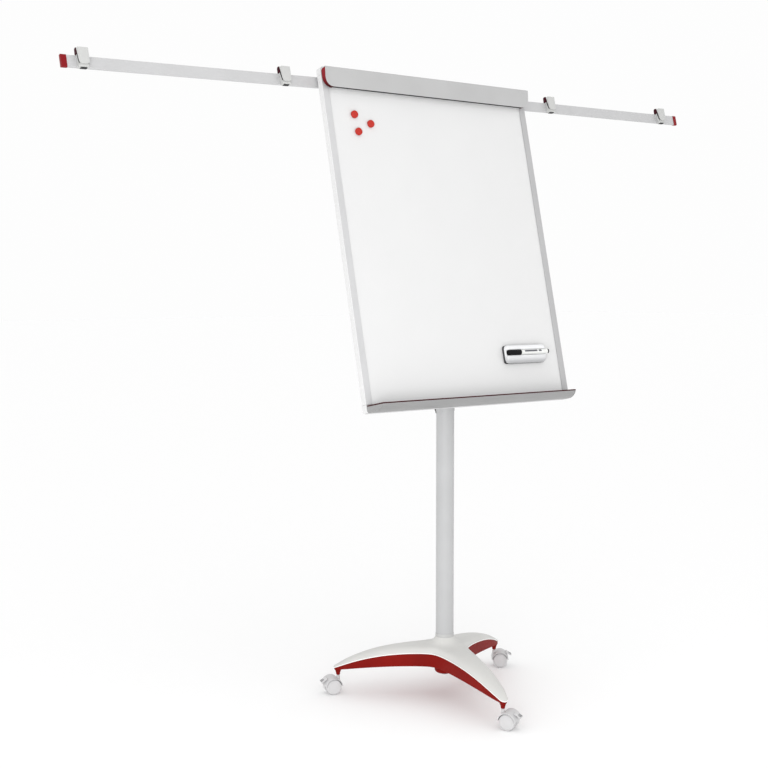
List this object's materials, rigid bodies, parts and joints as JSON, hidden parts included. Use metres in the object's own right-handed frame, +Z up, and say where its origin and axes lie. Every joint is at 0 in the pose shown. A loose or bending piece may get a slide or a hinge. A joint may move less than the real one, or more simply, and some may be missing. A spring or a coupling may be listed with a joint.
{
  "type": "mobile flipchart easel",
  "caption": "Free-standing flipchart easel: a leaning magnetic white board on a telescopic post, three-legged castor base, pen tray, pad clamp and side arms with paper clips.",
  "frame": {"origin": "on the floor below the middle of the whole easel's bounding box, about 64 mm in front of the post's axis", "axes": "+Z up, the board faces -Y, +X to the right of someone who reads the board and along the side arms"},
  "size_m": [2.113, 0.5709, 1.732],
  "materials": {
    "black_plastic": "satin",
    "bright_steel": "zinc plated",
    "coated_aluminium": "white coated",
    "core_board": "pressed fibre board",
    "dark_rubber": "matt",
    "grey_felt": "felt",
    "red_plastic": "satin",
    "red_powder_coat": "dark red powder coat",
    "white_enamel": "gloss enamel",
    "white_plastic": "smooth satin",
    "white_powder_coat": "fine powder coat"
  },
  "bodies": {
    "stand": {"base_cover": "white_plastic", "base_frame": "red_powder_coat", "hub_cup": "red_powder_coat", "post_skirt": "white_plastic", "outer_post": "white_powder_coat", "post_bolt": "bright_steel", "post_collar": "white_plastic", "guide_bush": "black_plastic"},
    "height_lever": {"height_lever": "black_plastic"},
    "mast": {"inner_post": "white_powder_coat", "post_glide": "black_plastic", "tilt_head": "black_plastic"},
    "board": {"writing_panel": "white_enamel", "back_panel": "core_board", "frame_left": "coated_aluminium", "frame_right": "coated_aluminium", "frame_bottom": "coated_aluminium", "frame_top": "coated_aluminium", "corner_low_left": "white_plastic", "corner_low_right": "white_plastic", "corner_top_left": "white_plastic", "corner_top_right": "white_plastic", "tilt_bracket": "white_powder_coat", "tilt_nut": "bright_steel", "arm_channel": "white_powder_coat", "pen_tray": "coated_aluminium", "tray_edge_strip": "red_plastic", "hook_rail": "bright_steel", "clamp_hinge_rail": "bright_steel"},
    "tilt_knob": {"tilt_knob": "black_plastic"},
    "pad_clamp": {"clamp_profile": "coated_aluminium", "clamp_end_left": "red_plastic", "clamp_end_right": "red_plastic", "clamp_grip_strip": "dark_rubber"},
    "pad_hook_left": {"pad_hook_left": "black_plastic"},
    "pad_hook_right": {"pad_hook_right": "black_plastic"},
    "arm_left": {"arm_left": "coated_aluminium", "arm_left_cap": "red_plastic"},
    "arm_right": {"arm_right": "coated_aluminium", "arm_right_cap": "red_plastic"},
    "clip_left_outer": {"clip_left_outer": "white_plastic"},
    "clip_left_inner": {"clip_left_inner": "white_plastic"},
    "clip_right_inner": {"clip_right_inner": "white_plastic"},
    "clip_right_outer": {"clip_right_outer": "white_plastic"},
    "magnet_1": {"magnet_1": "red_plastic"},
    "magnet_2": {"magnet_2": "red_plastic"},
    "magnet_3": {"magnet_3": "red_plastic"},
    "eraser": {"eraser_body": "white_plastic", "eraser_felt": "grey_felt"},
    "marker": {"marker_barrel": "white_plastic", "marker_cap": "black_plastic"},
    "caster_front_fork": {"caster_front_hood": "white_plastic"},
    "caster_front_wheels": {"caster_front_wheels": "white_plastic"},
    "caster_front_brake": {"caster_front_brake": "white_plastic"},
    "caster_right_fork": {"caster_right_hood": "white_plastic"},
    "caster_right_wheels": {"caster_right_wheels": "white_plastic"},
    "caster_right_brake": {"caster_right_brake": "white_plastic"},
    "caster_left_fork": {"caster_left_hood": "white_plastic"},
    "caster_left_wheels": {"caster_left_wheels": "white_plastic"},
    "caster_left_brake": {"caster_left_brake": "white_plastic"}
  },
  "joints": [
    {"name": "height_lever_turn", "type": "hinge", "parent": "stand", "child": "height_lever", "pos_m": [0, 0.064, 0.8235], "axis": [0, 1, 0], "range_deg": [0, 150]},
    {"name": "height_slide", "type": "slide", "parent": "stand", "child": "mast", "axis": [0, 0, 1], "range_m": [0, 0.25]},
    {"name": "board_tilt", "type": "hinge", "parent": "mast", "child": "board", "pos_m": [0, 0.064, 1.1135], "axis": [-1, 0, 0], "range_deg": [-13.48, 16.5]},
    {"name": "tilt_knob_turn", "type": "hinge", "parent": "board", "child": "tilt_knob", "pos_m": [0, 0.064, 1.1135], "axis": [1, 0, 0], "continuous": true},
    {"name": "clamp_hinge", "type": "hinge", "parent": "board", "child": "pad_clamp", "pos_m": [0, 0.13642, 1.7155], "axis": [-1, 0, 0], "range_deg": [0, 75]},
    {"name": "pad_hook_left_slide", "type": "slide", "parent": "board", "child": "pad_hook_left", "axis": [1, 0, 0], "range_m": [-0.03, 0.03]},
    {"name": "pad_hook_right_slide", "type": "slide", "parent": "board", "child": "pad_hook_right", "axis": [1, 0, 0], "range_m": [-0.03, 0.03]},
    {"name": "arm_left_slide", "type": "slide", "parent": "board", "child": "arm_left", "axis": [0.9997, 0.0055, 0.0231], "range_m": [0, 0.3]},
    {"name": "clip_left_inner_slide", "type": "slide", "parent": "arm_left", "child": "clip_left_inner", "axis": [0.9997, 0.0055, 0.0231], "range_m": [-0.3, 0]},
    {"name": "clip_left_outer_slide", "type": "slide", "parent": "arm_left", "child": "clip_left_outer", "axis": [0.9997, 0.0055, 0.0231], "range_m": [0, 0.15]},
    {"name": "arm_right_slide", "type": "slide", "parent": "board", "child": "arm_right", "axis": [-0.9999, -0.0025, -0.0106], "range_m": [0, 0.3]},
    {"name": "clip_right_inner_slide", "type": "slide", "parent": "arm_right", "child": "clip_right_inner", "axis": [-0.9999, -0.0025, -0.0106], "range_m": [-0.3, 0]},
    {"name": "clip_right_outer_slide", "type": "slide", "parent": "arm_right", "child": "clip_right_outer", "axis": [-0.9999, -0.0025, -0.0106], "range_m": [0, 0.15]},
    {"name": "magnet_1_lift", "type": "slide", "parent": "board", "child": "magnet_1", "axis": [0, -0.9725, 0.2331], "range_m": [0, 0.03]},
    {"name": "magnet_2_lift", "type": "slide", "parent": "board", "child": "magnet_2", "axis": [0, -0.9725, 0.2331], "range_m": [0, 0.03]},
    {"name": "magnet_3_lift", "type": "slide", "parent": "board", "child": "magnet_3", "axis": [0, -0.9725, 0.2331], "range_m": [0, 0.03]},
    {"name": "eraser_lift", "type": "slide", "parent": "board", "child": "eraser", "axis": [0, -0.9725, 0.2331], "range_m": [0, 0.05]},
    {"name": "marker_lift", "type": "slide", "parent": "eraser", "child": "marker", "axis": [0, -0.9725, 0.2331], "range_m": [0, 0.05]},
    {"name": "caster_front_swivel", "type": "hinge", "parent": "stand", "child": "caster_front_fork", "pos_m": [-0.04217, -0.23605, 0.065], "axis": [0, 0, 1], "continuous": true},
    {"name": "caster_front_roll", "type": "hinge", "parent": "caster_front_fork", "child": "caster_front_wheels", "pos_m": [-0.03411, -0.25215, 0.02181], "axis": [0.8942, 0.4478, 0], "continuous": true},
    {"name": "caster_front_brake_press", "type": "hinge", "parent": "caster_front_fork", "child": "caster_front_brake", "pos_m": [-0.02568, -0.26899, 0.04426], "axis": [0.8942, 0.4478, 0], "range_deg": [0, 15]},
    {"name": "caster_right_swivel", "type": "hinge", "parent": "stand", "child": "caster_right_fork", "pos_m": [0.28094, 0.17751, 0.065], "axis": [0, 0, 1], "continuous": true},
    {"name": "caster_right_roll", "type": "hinge", "parent": "caster_right_fork", "child": "caster_right_wheels", "pos_m": [0.29512, 0.16642, 0.02181], "axis": [0.6157, 0.788, 0], "continuous": true},
    {"name": "caster_right_brake_press", "type": "hinge", "parent": "caster_right_fork", "child": "caster_right_brake", "pos_m": [0.30996, 0.15483, 0.04426], "axis": [0.6157, 0.788, 0], "range_deg": [0, 15]},
    {"name": "caster_left_swivel", "type": "hinge", "parent": "stand", "child": "caster_left_fork", "pos_m": [-0.23877, 0.25055, 0.065], "axis": [0, 0, 1], "continuous": true},
    {"name": "caster_left_roll", "type": "hinge", "parent": "caster_left_fork", "child": "caster_left_wheels", "pos_m": [-0.25623, 0.2549, 0.02181], "axis": [-0.2419, -0.9703, 0], "continuous": true},
    {"name": "caster_left_brake_press", "type": "hinge", "parent": "caster_left_fork", "child": "caster_left_brake", "pos_m": [-0.27451, 0.25946, 0.04426], "axis": [-0.2419, -0.9703, 0], "range_deg": [0, 15]}
  ],
  "couplings": [
    {"joint": "clip_left_inner_slide", "follows": "arm_left_slide", "ratio": -1},
    {"joint": "clip_right_inner_slide", "follows": "arm_right_slide", "ratio": -1}
  ]
}
